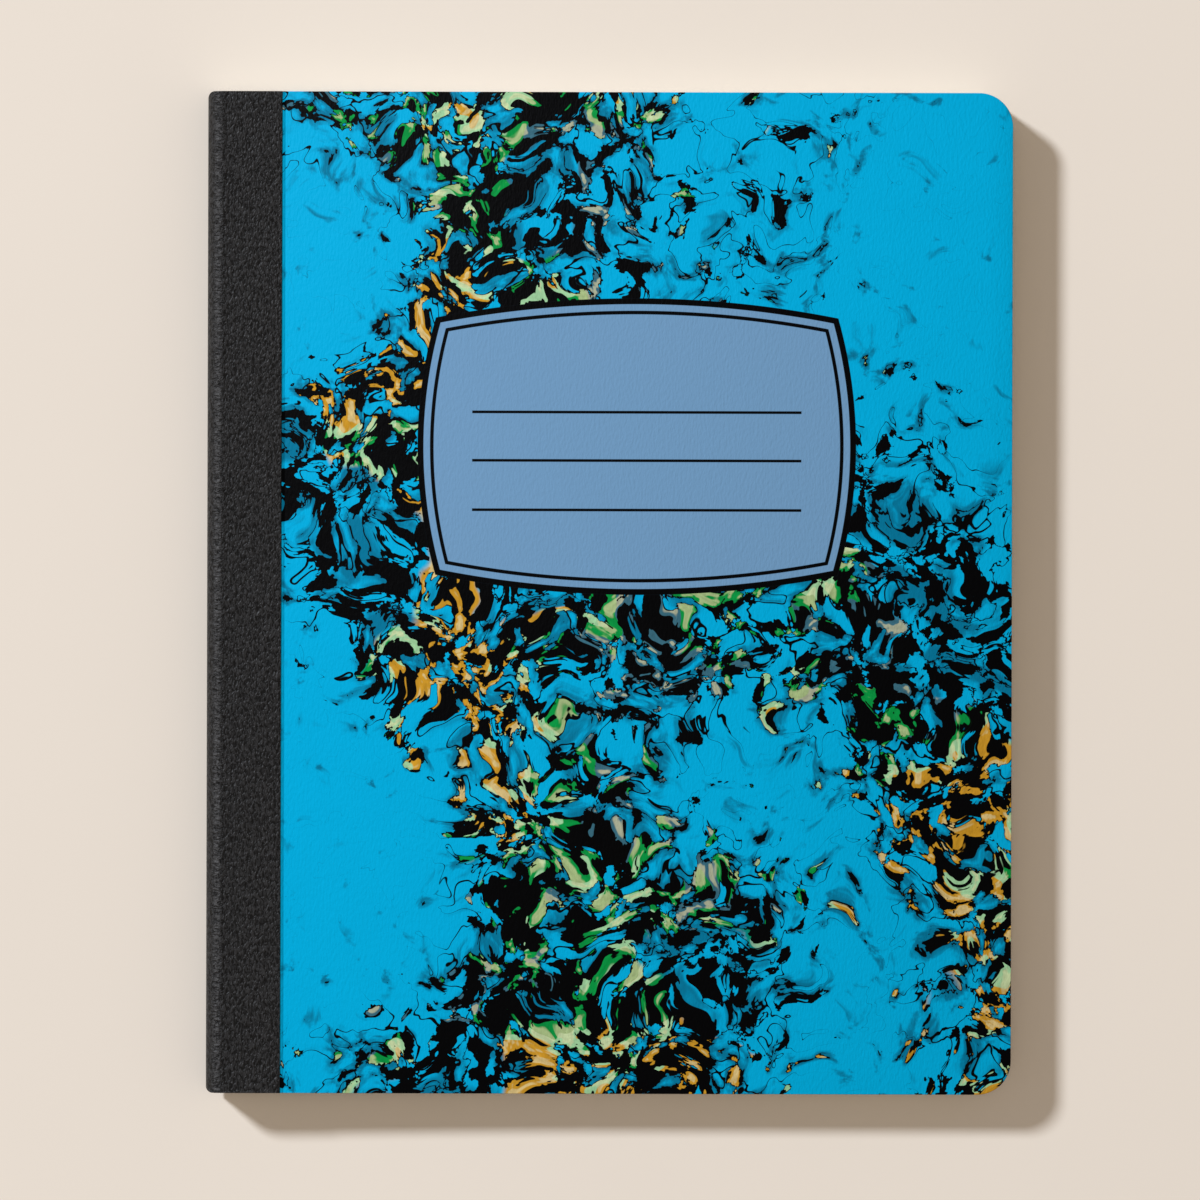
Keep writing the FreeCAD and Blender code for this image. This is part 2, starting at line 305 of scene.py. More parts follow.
# Where the flecks' noise is above a limit there is ink. The limit falls as the drift's noise rises,
# and the veins show only where it is low. The other pairs are where something starts and is full.
DRIFT_RANGE = (0.412, 0.572)
LIMIT_RANGE = (0.722, 0.446)
FLECK_EDGE = 0.004
VEIN_RANGE = (0.66, 0.50)
VEIN_WIDTH = 0.014
VEIN_EDGE = 0.002
HEART_RANGE = (0.52, 0.53)
HEART_INSET = (0.024, 0.032)
RIM_RANGE = (0.58, 0.62)
VEIL_REACH = (-0.13, -0.02)
SMOKE_RANGE = (0.42, 0.56)
VEIL_SHARE = 0.7
CLOUD_SHADE = 0.03
PLAIN_RANGE = (0.535, 0.55)

# Above each of these limits of the hue's noise, the hearts have the next colour.
HUE_STRAY = 0.11
HUE_STARTS = ((0.445, PALE_GREEN), (0.495, LEAF_GREEN), (0.575, SLATE))
HUE_EDGE = 0.005
PALE_SHARE = 0.5
STREAK_SHADE = 0.4


def marble_colours(shader, place, warped, rim):
    """The hearts' colours: broad fields of one hue after another, paler where rim is 1."""
    fields = shader.noise(shader.shift(place, *FIELD_SHIFT), FIELD_SIZE)
    stray = shader.noise(warped, STRAY_SIZE, detail=0.0)
    hue = shader.math("ADD", fields, shader.ramp(stray, 0.0, 1.0, -HUE_STRAY, HUE_STRAY))
    colour = linear(OCHRE)
    for start, next_colour in HUE_STARTS:
        colour = shader.mix(shader.step(hue, start, start + HUE_EDGE), colour, linear(next_colour))
    pale = shader.mix(PALE_SHARE, colour, linear(SAND))
    streaks = shader.noise(warped, STREAK_SIZE, roughness=0.6)
    return shader.vary(shader.mix(rim, colour, pale), streaks, STREAK_SHADE)


def marbling(shader, place):
    """Old composition-book marbling: torn flecks of ink on turquoise, gathered in drifts, with thin
    veins about them, smoky veils round them and coloured hearts."""
    drift = shader.noise(place, DRIFT_SIZE, detail=1.0, roughness=0.45)
    swirl = shader.vector("SUBTRACT", shader.noise(place, SWIRL_SIZE, output="Color"), (0.5, 0.5, 0.5))
    warped = shader.vector("ADD", place, shader.stretch(swirl, SWIRL_REACH, SWIRL_REACH, 0.0))
    flecks = shader.noise(warped, FLECK_SIZE, detail=4.0, roughness=0.56)
    limit = shader.ramp(drift, *DRIFT_RANGE, *LIMIT_RANGE)
    over = shader.math("SUBTRACT", flecks, limit)
    ink = shader.step(over, -FLECK_EDGE, FLECK_EDGE)
    off_vein = shader.distance(shader.noise(warped, VEIN_SIZE), 0.5)
    vein_width = shader.math("MULTIPLY", shader.step(limit, *VEIN_RANGE), VEIN_WIDTH)
    vein = shader.step(shader.math("SUBTRACT", vein_width, off_vein), -VEIN_EDGE, VEIN_EDGE)
    ink = shader.math("MAXIMUM", ink, vein)
    hearts = shader.noise(shader.shift(warped, *HEART_SHIFT), HEART_SIZE, detail=2.5)
    deep_in = shader.step(over, *HEART_INSET)
    heart = shader.math("MULTIPLY", shader.step(hearts, *HEART_RANGE), deep_in)
    rim = shader.step(hearts, *RIM_RANGE)
    smoke = shader.noise(shader.shift(warped, *SMOKE_SHIFT), SMOKE_SIZE, detail=3.0)
    near_ink = shader.step(over, *VEIL_REACH)
    veil = shader.math("MULTIPLY", near_ink, shader.step(smoke, *SMOKE_RANGE))
    clouds = shader.noise(place, CLOUD_SIZE, detail=3.0, roughness=0.55)
    ground = shader.vary(linear(TURQUOISE), clouds, CLOUD_SHADE)
    ground = shader.mix(shader.math("MULTIPLY", veil, VEIL_SHARE), ground, linear(VEIL))
    plain = shader.step(shader.noise(shader.shift(warped, *PLAIN_SHIFT), PLAIN_SIZE), *PLAIN_RANGE)
    filling = shader.mix(plain, marble_colours(shader, place, warped, rim), ground)
    inked = shader.mix(heart, linear(INK), filling)
    return shader.mix(ink, ground, inked)


# how much painted shade darkens the print in the pressed line
SCORE_PAINTED_SHADE = 0.05
EMBOSS_SIZE = 0.6
EMBOSS_STRETCH = 0.4
EMBOSS_DEPTH = 0.11 * MM


def make_cover_print(name, with_label, offset):
    """The printed and finely embossed cover paper, with painted shade making it a little darker in the
    pressed line.
    """
    shader = Shader(name)
    place = shader.millimetres()
    colour = marbling(shader, shader.shift(place, *offset))
    if with_label:
        colour = print_label(shader, place, colour)
    from_line = shader.distance(shader.split(place)[0], SCORE_X / MM)
    # where the painted shade of the pressed line lies
    painted_line_shade = shader.step(from_line, SCORE_WIDTH / 2 / MM, SCORE_WIDTH / 5 / MM)
    # painted shade in the pressed line: a share of 0.5 leaves the colour as it is, and one of 0 makes
    # it darkest
    colour = shader.vary(colour, shader.math("MULTIPLY_ADD", painted_line_shade, -0.5, 0.5), SCORE_PAINTED_SHADE)
    roughness = shader.ramp(shader.noise(place, 1.1), 0.0, 1.0, 0.44, 0.56)
    emboss = shader.noise(shader.stretch(place, 1.0, EMBOSS_STRETCH), EMBOSS_SIZE, roughness=0.55)
    return shader.finish(colour, roughness, shader.relief(emboss, EMBOSS_DEPTH), specular=0.03)


FIBRE_SIZE = 0.09
FIBRE_STRETCH = 0.12
FIBRE_DEPTH = 0.03 * MM
LINING_TOOTH_DEPTH = 0.010 * MM


def make_board_core():
    """The cut edge of a pressed board: grey fibres in thin layers."""
    shader = Shader("board_core")
    place = shader.millimetres()
    drawn_out = shader.stretch(place, FIBRE_STRETCH, FIBRE_STRETCH)
    fibres = shader.noise(drawn_out, FIBRE_SIZE, detail=3.0, roughness=0.6)
    colour = shader.vary(linear(BOARD_GREY), fibres, 0.22)
    colour = shader.vary(colour, shader.noise(place, 0.5, roughness=0.6), 0.10)
    return shader.finish(colour, 0.85, shader.relief(fibres, FIBRE_DEPTH), specular=0.2)


def make_lining():
    """The plain white inside of a cover."""
    shader = Shader("cover_lining")
    place = shader.millimetres()
    colour = shader.vary(linear(PAPER), shader.noise(place, 3.0, detail=4.0, roughness=0.6), 0.03)
    tooth = shader.noise(place, 0.4, roughness=0.6)
    return shader.finish(colour, 0.7, shader.relief(tooth, LINING_TOOTH_DEPTH), specular=0.3)


# the ruling of the pages, in millimetres, and how strong its ink is
RULE_PITCH = 8.7
RULE_WIDTH = 0.36
HEADER = 30.0
MARGIN = 31.75
FOOTER = 12.0
RULE_STRENGTH = 0.9
# how level a face is, from 0 to 1, where the ruling starts to show and shows in full
LEVEL_RANGE = (0.7, 0.9)

PAPER_TOOTH_SIZE = 2.5
PAPER_TOOTH_DEPTH = 0.006 * MM
# the leaves and bundles of leaves at a trimmed edge, far longer than they are thick
LAYER_SIZE = 0.16
LAYER_STRETCH = 0.02
BUNDLE_SIZE = 1.3
BUNDLE_STRETCH = 0.012


def finish_paper(shader, colour, tooth):
    return shader.finish(colour, 0.8, shader.relief(tooth, PAPER_TOOTH_DEPTH), specular=0.25)


def make_ruled_paper():
    """Writing paper with blue rules and a red margin, at the left of a right-hand page and at the
    right of the last page's back."""
    shader = Shader("ruled_paper")
    place = shader.millimetres()
    x, y, z = shader.split(place)
    normal = shader.add("ShaderNodeNewGeometry").outputs["True Normal"]
    on_face = shader.step(shader.math("ABSOLUTE", shader.split(normal)[2]), *LEVEL_RANGE)
    down = shader.math("SUBTRACT", HALF_HEIGHT / MM - HEADER, y)
    off_rule = shader.math("ABSOLUTE", shader.math("WRAP", down, RULE_PITCH / 2, -RULE_PITCH / 2))
    rule = shader.step(off_rule, RULE_WIDTH / 2 + PRINT_EDGE, RULE_WIDTH / 2 - PRINT_EDGE)
    lines = band(shader, down, -RULE_PITCH / 2, 2 * HALF_HEIGHT / MM - HEADER - FOOTER)
    rule = shader.math("MULTIPLY", rule, lines)
    on_first = shader.step(z, MIDDLE / MM - 1, MIDDLE / MM + 1)
    on_last = shader.math("SUBTRACT", 1.0, on_first)
    from_left = shader.math("SUBTRACT", x, SPINE_X / MM + MARGIN)
    from_right = shader.math("SUBTRACT", x, FORE_X / MM - MARGIN)
    left_line = band(shader, from_left, -RULE_WIDTH / 2, RULE_WIDTH / 2)
    right_line = band(shader, from_right, -RULE_WIDTH / 2, RULE_WIDTH / 2)
    first_margin = shader.math("MULTIPLY", left_line, on_first)
    last_margin = shader.math("MULTIPLY", right_line, on_last)
    red = shader.math("ADD", first_margin, last_margin)
    tooth = shader.noise(place, PAPER_TOOTH_SIZE, detail=4.0, roughness=0.6)
    colour = shader.vary(linear(PAPER), tooth, 0.025)
    for share, ink in ((rule, RULE_BLUE), (red, MARGIN_RED)):
        share = shader.math("MULTIPLY", shader.math("MULTIPLY", share, on_face), RULE_STRENGTH)
        colour = shader.mix(share, colour, linear(ink))
    return finish_paper(shader, colour, tooth)


def make_leaf_edges():
    """The trimmed edges of the stack: each leaf a line, in loosely parted bundles."""
    shader = Shader("leaf_edges")
    place = shader.millimetres()
    layered = shader.stretch(place, LAYER_STRETCH, LAYER_STRETCH)
    layers = shader.noise(layered, LAYER_SIZE, detail=3.0, roughness=0.7)
    bundled = shader.stretch(place, BUNDLE_STRETCH, BUNDLE_STRETCH)
    bundles = shader.noise(bundled, BUNDLE_SIZE, roughness=0.6)
    colour = shader.vary(linear(PAPER), layers, 0.34)
    colour = shader.vary(colour, bundles, 0.20)
    tooth = shader.noise(place, PAPER_TOOTH_SIZE, detail=4.0, roughness=0.6)
    return finish_paper(shader, colour, tooth)


# round the tape, in millimetres: its flat part, its turn, and half of the spine's wall
TAPE_FLAT = (TAPE_EDGE_X - SPINE_X - FOLD_RADIUS) / MM
TAPE_TURN = FOLD_RADIUS / MM * math.pi / 2
TAPE_WALL = (TOP - MIDDLE - FOLD_RADIUS) / MM
TAPE_MIDDLE = TAPE_FLAT + TAPE_TURN + TAPE_WALL

# the line on the turn where the cloth is creased and shows wear with a painted highlight, from the
# middle of the spine, and how far from it, in millimetres, the creases and the wear with its painted
# highlight start and are full
RIDGE_SHARE = 0.77
RIDGE = TAPE_WALL + TAPE_TURN * RIDGE_SHARE
CREASED_REACH = (2.2, 0.5)
WEAR_HIGHLIGHT_REACH = (1.5, 0.2)

PEBBLE_SIZE = 0.55
PEBBLE_STRETCH = 0.5
LUMP_SIZE = 1.9
LUMP_SHARE = 0.5
CREASE_SIZE = 0.6
CREASE_STRETCH = 0.4
CREASE_HEIGHT = 3.0
CLOTH_DISTORTION = 0.8
# how far the wear with its painted highlight lightens the ridge
WEAR_AND_HIGHLIGHT_SHARE = 0.8
CLOTH_DEPTH = 0.36 * MM


def make_tape_cloth():
    """Black binding cloth with a pebbled coating, creased along the turns of the spine, where the ridge
    is lighter as wear and painted highlight. The pebbles' valleys are darker as painted shade and their
    tops lighter as painted highlight.
    Its map holds the way round the tape and the way along it."""
    shader = Shader("binding_cloth")
    place = shader.map_millimetres("cloth")
    around = shader.split(place)[0]
    pebbled = shader.stretch(place, 1.0, PEBBLE_STRETCH)
    pebbles = shader.noise(pebbled, PEBBLE_SIZE, detail=1.0, distortion=CLOTH_DISTORTION)
    lumps = shader.noise(place, LUMP_SIZE, detail=1.0)
    grain = shader.math("MULTIPLY_ADD", lumps, LUMP_SHARE, pebbles)
    off_ridge = shader.distance(shader.distance(around, TAPE_MIDDLE), RIDGE)
    creased = shader.stretch(place, CREASE_STRETCH, 1.0)
    creases = shader.noise(creased, CREASE_SIZE, roughness=0.6, distortion=CLOTH_DISTORTION)
    on_ridge = shader.step(off_ridge, *CREASED_REACH)
    raised = shader.math("MULTIPLY", shader.math("SUBTRACT", creases, 0.35), on_ridge)
    height = shader.math("MULTIPLY_ADD", raised, CREASE_HEIGHT, grain)
    rubbed_and_lit = shader.step(off_ridge, *WEAR_HIGHLIGHT_REACH)
    wear_and_highlight = shader.math("MULTIPLY", rubbed_and_lit, shader.ramp(creases, 0.42, 0.56))
    # painted shade and highlight: the pebbles' valleys darker and their tops lighter
    colour = shader.mix(shader.ramp(pebbles, 0.40, 0.62), linear(TAPE_SHADED_VALLEY), linear(TAPE_LIT_PEBBLE))
    # the ridge made lighter, as wear and as painted highlight
    colour = shader.mix(shader.math("MULTIPLY", wear_and_highlight, WEAR_AND_HIGHLIGHT_SHARE), colour, linear(TAPE_WORN_AND_LIT))
    roughness = shader.ramp(pebbles, 0.0, 1.0, 0.52, 0.42)
    return shader.finish(colour, roughness, shader.relief(height, CLOTH_DEPTH), specular=0.22)


# radians of the thread's twist to a millimetre of its length, and how deep it shows
PLY_TWIST = 5.0
PLY_DEPTH = 0.05 * MM


def make_thread_yarn():
    """Two-ply cotton thread: the plies show as a slanting twist."""
    shader = Shader("thread_yarn")
    x, y, z = shader.split(shader.millimetres())
    slant = shader.math("ADD", y, shader.math("ADD", x, z))
    ply = shader.ramp(shader.math("SINE", shader.math("MULTIPLY", slant, PLY_TWIST)), -1.0, 1.0)
    colour = shader.vary(linear(THREAD_WHITE), ply, 0.12)
    return shader.finish(colour, 0.8, shader.relief(ply, PLY_DEPTH), specular=0.3)


def make_floor_material():
    shader = Shader("pale_floor")
    mottle = shader.noise(shader.millimetres(), 60.0)
    return shader.finish(shader.vary(linear(FLOOR_CREAM), mottle, 0.01), 0.9, specular=0.1)


def add_object(name, mesh):
    piece = bpy.data.objects.new(name, mesh)
    bpy.context.scene.collection.objects.link(piece)
    return piece


# Edges sharper than these angles, in degrees, stay sharp when a piece is shaded smooth.
SHARP_ANGLE = 35
TAPE_SHARP_ANGLE = 50


def smooth(piece, sharp_angle):
    """Shades the piece smooth, apart from edges sharper than the angle."""
    for polygon in piece.data.polygons:
        polygon.use_smooth = True
    piece.data.set_sharp_from_angle(angle=math.radians(sharp_angle))


def ease(value):
    """Rises smoothly from 0 to 1 as the value does, and stays there."""
    share = min(max(value, 0), 1)
    return share * share * (3 - 2 * share)


def arc_points(centre, radius, start, end, count):
    """Points of an arc from one angle to another, in degrees, both ends included."""
    angles = np.radians(np.linspace(start, end, count))
    return [(centre[0] + radius * math.cos(a), centre[1] + radius * math.sin(a)) for a in angles]


def head_at(x):
    """How far towards the head the trimmed book reaches at x: less where its corners are rounded."""
    reach = HALF_HEIGHT
    from_spine = SPINE_X + SPINE_CORNER_RADIUS - x
    if from_spine > 0:
        reach += math.sqrt(max(SPINE_CORNER_RADIUS**2 - from_spine**2, 0)) - SPINE_CORNER_RADIUS
    from_fore = x - (FORE_X - FORE_CORNER_RADIUS)
    if from_fore > 0:
        reach += math.sqrt(max(FORE_CORNER_RADIUS**2 - from_fore**2, 0)) - FORE_CORNER_RADIUS
    return reach


# how close together two points are one, and more than rounding can add to a length or a share
MERGE = 1e-7
ROUNDING = 1e-6


def strip_solid(outer, inner, stations):
    """Vertices and faces of a bent strip with a thickness, given by the outer and inner lines of its
    section in X and Z. Each station is a share of the way from the tail, -1, to the head, 1.
    A face is the side that it is on and its corners, each a vertex, its share of the way round
    and along the strip, and 0 at the outer line or 1 at the inner. Points that a line holds twice
    become one vertex, and faces without width are left out."""
    count = len(outer)
    steps = [0.0, *(math.dist(a, b) for a, b in zip(outer, outer[1:]))]
    around = np.cumsum(steps) / sum(steps)
    vertices, faces, known = [], [], {}

    def corner(row, i, deep):
        x, z = (inner if deep else outer)[i]
        place = (x, stations[row] * head_at(x), z)
        index = known.setdefault(tuple(round(c / MERGE) for c in place), len(vertices))
        if index == len(vertices):
            vertices.append(place)
        return index, around[i], (stations[row] + 1) / 2, deep

    def add_face(side, *places):
        corners = {}
        for found in [corner(*place) for place in places]:
            corners.setdefault(found[0], found)
        if len(corners) > 2:
            faces.append((side, list(corners.values())))

    for row in range(len(stations) - 1):
        for deep, side in enumerate(("outer", "inner")):
            for i in range(count - 1):
                near = (row, i, deep), (row, i + 1, deep)
                far = (row + 1, i + 1, deep), (row + 1, i, deep)
                add_face(side, *near, *far)
        for i, side in ((0, "first"), (count - 1, "last")):
            add_face(side, (row, i, 0), (row, i, 1), (row + 1, i, 1), (row + 1, i, 0))
    for row, side in ((0, "tail"), (len(stations) - 1, "head")):
        for i in range(count - 1):
            add_face(side, (row, i, 0), (row, i + 1, 0), (row, i + 1, 1), (row, i, 1))
    return vertices, faces


def new_strip(name, vertices, faces, materials, sharp_angle):
    """A mesh object from strips; the second material, if any, goes on the strips' edges."""
    mesh = bpy.data.meshes.new(name)
    mesh.from_pydata(vertices, [], [[index for index, *_ in corners] for _, corners in faces])
    for material in materials:
        mesh.materials.append(material)
    work = bmesh.new()
    work.from_mesh(mesh)
    bmesh.ops.recalc_face_normals(work, faces=work.faces)
    work.to_mesh(mesh)
    work.free()
    if len(materials) > 1:
        for polygon, (side, _) in zip(mesh.polygons, faces):
            polygon.material_index = 0 if side in ("outer", "inner") else 1
    piece = add_object(name, mesh)
    smooth(piece, sharp_angle)
    return piece


def add_map(piece, name, faces, place_face):
    """Gives the strip a flat map; place_face says where the corners of a face lie on it."""
    layer = piece.data.uv_layers.new(name=name)
    for polygon, (side, corners) in zip(piece.data.polygons, faces):
        places = {corner[0]: place for corner, place in zip(corners, place_face(side, corners))}
        for loop in polygon.loop_indices:
            layer.data[loop].uv = places[piece.data.loops[loop].vertex_index]


# The map named OFBake is the one that a model's colours are baked on. It gives the side that is
# seen nearly all of the square, and the hidden ones and thin edges narrow bands of it.
BAKE_MAP = "OFBake"
BAKE_RIM = 0.002

# a strip's outer side: the width of all its columns, and how much of a column it fills
OUTER_WIDTH = 0.9
COLUMN_FILL = 0.97
# its other sides: where their bands start, and how wide they are
INNER_START = 0.91
INNER_WIDTH = 0.04
EDGE_STARTS = {"first": 0.955, "last": 0.97}
END_START = 0.985
EDGE_WIDTH = 0.01
# its tail and head share a band: where each starts along it, and how long it is
END_PLACES = {"tail": 0.0, "head": 0.52}
END_LENGTH = 0.48


def inset(share):
    """A share of the square's height, kept off its rim."""
    return BAKE_RIM + (1 - 2 * BAKE_RIM) * share


def bake_places(side, corners, columns=1):
    """Where the corners of a strip's face lie on the bake's map. The outer side is folded into
    columns, so that a long strip fills the square."""
    column = int(min(along for _, _, along, _ in corners) * columns + ROUNDING)
    places = []
    for _, around, along, deep in corners:
        if side == "outer":
            right = OUTER_WIDTH * (column + COLUMN_FILL * around) / columns
            up = inset(along * columns - column)
        elif side == "inner":
            right = INNER_START + INNER_WIDTH * around
            up = inset(along)
        elif side in EDGE_STARTS:
            right = EDGE_STARTS[side] + EDGE_WIDTH * deep
            up = inset(along)
        else:
            right = END_START + EDGE_WIDTH * deep
            up = inset(END_LENGTH * around + END_PLACES[side])
        places.append((right, up))
    return places


# a board's bands of the bake's map: the print, the lining, and the cut edges on its four sides
PRINT_WIDTH = 0.776
LINING_START = 0.785
LINING_WIDTH = 0.095
FORE_START = 0.89
SPINE_START = 0.92
HEAD_START = 0.95
TAIL_START = 0.975
CORE_WIDTH = 0.02

# a board's materials: the print where a face looks outward more than this, the lining where it
# looks inward more than this, and the core between
PRINT_INDEX, CORE_INDEX, LINING_INDEX = range(3)
PRINT_LEAN = 0.3
LINING_LEAN = -0.5

CORNER_POINTS = 25
EASED_STEPS = 3
SCORE_CUTS = 9
# a board's points that are less deep than this are on its outer face or its eased edge
OUTSIDE_DEPTH = EASED_RADIUS * 1.5


def board_bake_place(face, place, inner_z, outer_z):
    """Where a corner of a board's face lies on the bake's map."""
    across = (place.x - BOARD_START_X) / (FORE_X - BOARD_START_X)
    along = (place.y + HALF_HEIGHT) / (2 * HALF_HEIGHT)
    deep = (place.z - inner_z) / (outer_z - inner_z)
    if face.material_index == PRINT_INDEX:
        return BAKE_RIM + PRINT_WIDTH * across, inset(along)
    if face.material_index == LINING_INDEX:
        return LINING_START + LINING_WIDTH * across, inset(along)
    if abs(face.normal.x) > abs(face.normal.y):
        start = FORE_START if face.normal.x > 0 else SPINE_START
        return start + CORE_WIDTH * deep, inset(along)
    start = HEAD_START if face.normal.y > 0 else TAIL_START
    return start + CORE_WIDTH * deep, inset(across)


def board_material(outward):
    """Which material a board's face has: the print also covers most of the eased edge."""
    if outward > PRINT_LEAN:
        return PRINT_INDEX
    return LINING_INDEX if outward < LINING_LEAN else CORE_INDEX


def make_board(name, outer_material, core, lining, is_front):
    """A cover board: rounded fore corners, an eased outer edge and the pressed line beside the tape."""
    sign = 1 if is_front else -1
    inner_z = MIDDLE + sign * (BOARD_LOW.z - MIDDLE)
    outer_z = MIDDLE + sign * (BOARD_HIGH.z - MIDDLE)
    corner_x = FORE_X - FORE_CORNER_RADIUS
    corner_y = HALF_HEIGHT - FORE_CORNER_RADIUS
    outline = [
        (BOARD_START_X, -HALF_HEIGHT),
        *arc_points((corner_x, -corner_y), FORE_CORNER_RADIUS, -90, 0, CORNER_POINTS),
        *arc_points((corner_x, corner_y), FORE_CORNER_RADIUS, 0, 90, CORNER_POINTS),
        (BOARD_START_X, HALF_HEIGHT),
    ]
    work = bmesh.new()
    lower = [work.verts.new((x, y, inner_z)) for x, y in outline]
    upper = [work.verts.new((x, y, outer_z)) for x, y in outline]
    work.faces.new(lower)
    top = work.faces.new(upper)
    for i in range(len(outline)):
        j = (i + 1) % len(outline)
        work.faces.new((lower[i], lower[j], upper[j], upper[i]))
    bmesh.ops.recalc_face_normals(work, faces=work.faces)
    rim = [e for e in top.edges if max(v.co.x for v in e.verts) > BOARD_START_X + ROUNDING]
    bmesh.ops.bevel(
        work, geom=rim, offset=EASED_RADIUS, segments=EASED_STEPS, profile=0.5, affect="EDGES"
    )
    for share in np.linspace(-1, 1, SCORE_CUTS):
        everything = [*work.verts, *work.edges, *work.faces]
        place = (SCORE_X + share * SCORE_WIDTH / 2, 0, 0)
        bmesh.ops.bisect_plane(work, geom=everything, dist=MERGE, plane_co=place, plane_no=(1, 0, 0))
    for vertex in work.verts:
        across = (vertex.co.x - SCORE_X) / (SCORE_WIDTH / 2)
        if abs(across) < 1 and abs(vertex.co.z - outer_z) < OUTSIDE_DEPTH:
            vertex.co.z -= sign * SCORE_DEPTH * (1 - across**2)
    work.normal_update()
    layer = work.loops.layers.uv.new(BAKE_MAP)
    for face in work.faces:
        face.material_index = board_material(face.normal.z * sign)
        for loop in face.loops:
            loop[layer].uv = board_bake_place(face, loop.vert.co, inner_z, outer_z)
    mesh = bpy.data.meshes.new(name)
    for material in (outer_material, core, lining):
        mesh.materials.append(material)
    work.to_mesh(mesh)
    work.free()
    piece = add_object(name, mesh)
    smooth(piece, SHARP_ANGLE)
    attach(piece, "front_cover" if is_front else "back_cover")
    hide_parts("front_board" if is_front else "back_board")


TAPE_EDGE_ROUND = 0.07 * MM
# how near the middle of a quarter circle comes to the sides of its square, in radii
ROUND_MIDDLE = 0.3
# the points of the tape's section: where it is glued to a board, bends, and turns at the spine
GLUED_START_X = TAPE_EDGE_X - 0.6 * MM
GLUED_END_X = BOARD_START_X + 0.3 * MM
GLUED_POINTS = 8
BEND_POINTS = 13
TURN_POINTS = 17
TAPE_ROWS = 40
TAPE_COLUMNS = 4


def tape_line(depth, is_front):
    """The tape's section at a depth below its outside, from its edge on a cover to the middle of
    the spine."""
    sign = 1 if is_front else -1
    surface = TOP - MIDDLE - depth
    left = SPINE_X + depth
    radius = FOLD_RADIUS - depth
    edge_round = TAPE_EDGE_ROUND if depth == 0 else 0.0
    middle = edge_round * ROUND_MIDDLE
    points = [
        (TAPE_EDGE_X, surface - edge_round),
        (TAPE_EDGE_X - middle, surface - middle),
        (TAPE_EDGE_X - edge_round, surface),
    ]
    glued = np.linspace(GLUED_START_X, GLUED_END_X, GLUED_POINTS)
    bending = np.linspace(BOARD_START_X, HINGE_X, BEND_POINTS)
    points += [(x, surface) for x in (*glued, *bending)]
    points += arc_points((left + radius, surface - radius), radius, 90, 180, TURN_POINTS)
    points.append((left, 0.0))
    return [(x, MIDDLE + sign * z) for x, z in points]


def make_tape(name, material, is_front):
    """Half of the binding tape, from its edge on a cover to the middle of the spine, where it meets
    the other half."""
    outer, inner = tape_line(0.0, is_front), tape_line(TAPE_THICK, is_front)
    vertices, faces = strip_solid(outer, inner, np.linspace(-1, 1, TAPE_ROWS + 1))
    piece = new_strip(name, vertices, faces, [material], TAPE_SHARP_ANGLE)
    length = sum(math.dist(a, b) for a, b in zip(outer, outer[1:]))

    def cloth_places(side, corners):
        shares = [(around if is_front else 2 - around, along) for _, around, along, _ in corners]
        return [(length * around, 2 * HALF_HEIGHT * along) for around, along in shares]

    add_map(piece, "cloth", faces, cloth_places)
    add_map(piece, BAKE_MAP, faces, lambda side, corners: bake_places(side, corners, TAPE_COLUMNS))
    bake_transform(piece)
    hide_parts("tape_spine", "tape_front_flap" if is_front else "tape_back_flap")


SHEETS = 50
# how much of its pitch a leaf fills, the stack's room within the tape and the boards, and how
# far the trimmed fore-edges of the sheets may lie short of the boards' edge
SHEET_FILL = 0.86
LEAF_ROOM = 0.03 * MM
TRIM_SPREAD = 0.10 * MM
RNG = np.random.default_rng(7)

# between these the leaves settle from their swell at the spine to their flat thickness
SWELL_END_X = SPINE_X + 4.2 * MM
FLAT_START_X = BOARD_START_X - 0.02 * MM

# the points of a sheet's section: through the fore corner, up to an angle where it is steep,
# on the flat part, where the leaves settle, and round the fold
FORE_ANGLE = 82
FORE_POINTS = 11
FLAT_PLACES = (SPINE_X + 20 * MM, SPINE_X + 7 * MM)
SETTLE_POINTS = 8
FOLD_POINTS = 9


def sheet_line(nest, fore_x):
    """The section of one folded sheet. nest counts sheets in from the outermost, and may be a
    fraction."""
    flat_pitch = (PAGES_THICK / 2 - LEAF_ROOM) / SHEETS
    swollen_pitch = (SWELL_THICK / 2 - LEAF_ROOM) / SHEETS

    def half_at(x):
        share = ease((FLAT_START_X - x) / (FLAT_START_X - SWELL_END_X))
        return (SHEETS - nest) * (flat_pitch + (swollen_pitch - flat_pitch) * share)

    left = SPINE_X + TAPE_THICK + LEAF_ROOM + nest * swollen_pitch
    turn_x = left + min(FOLD_RADIUS - TAPE_THICK, (SHEETS - nest) * swollen_pitch)
    radius = min(turn_x - left, half_at(turn_x))
    corner = np.radians(np.linspace(FORE_ANGLE, 0, FORE_POINTS))
    columns = [fore_x, *(FORE_X - FORE_CORNER_RADIUS * (1 - np.sin(corner))), *FLAT_PLACES]
    columns += [*np.linspace(max(FLAT_START_X, turn_x), turn_x, SETTLE_POINTS)]
    points = [(x, half_at(x)) for x in columns]
    centre = (left + radius, half_at(turn_x) - radius)
    points += arc_points(centre, radius, 90, 180, FOLD_POINTS)[1:]
    mirrored = [(x, -z) for x, z in reversed(points)]
    return [(x, MIDDLE + z) for x, z in [*points, *mirrored]]


def sheet_solid(sheet):
    """One folded sheet, trimmed a hair short of the boards' edge."""
    fore_x = FORE_X - RNG.uniform(0.0, TRIM_SPREAD)
    return strip_solid(sheet_line(sheet, fore_x), sheet_line(sheet + SHEET_FILL, fore_x), (-1, 1))


def finish_leaves(piece):
    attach(piece, "text_block")
    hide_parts("page_block")


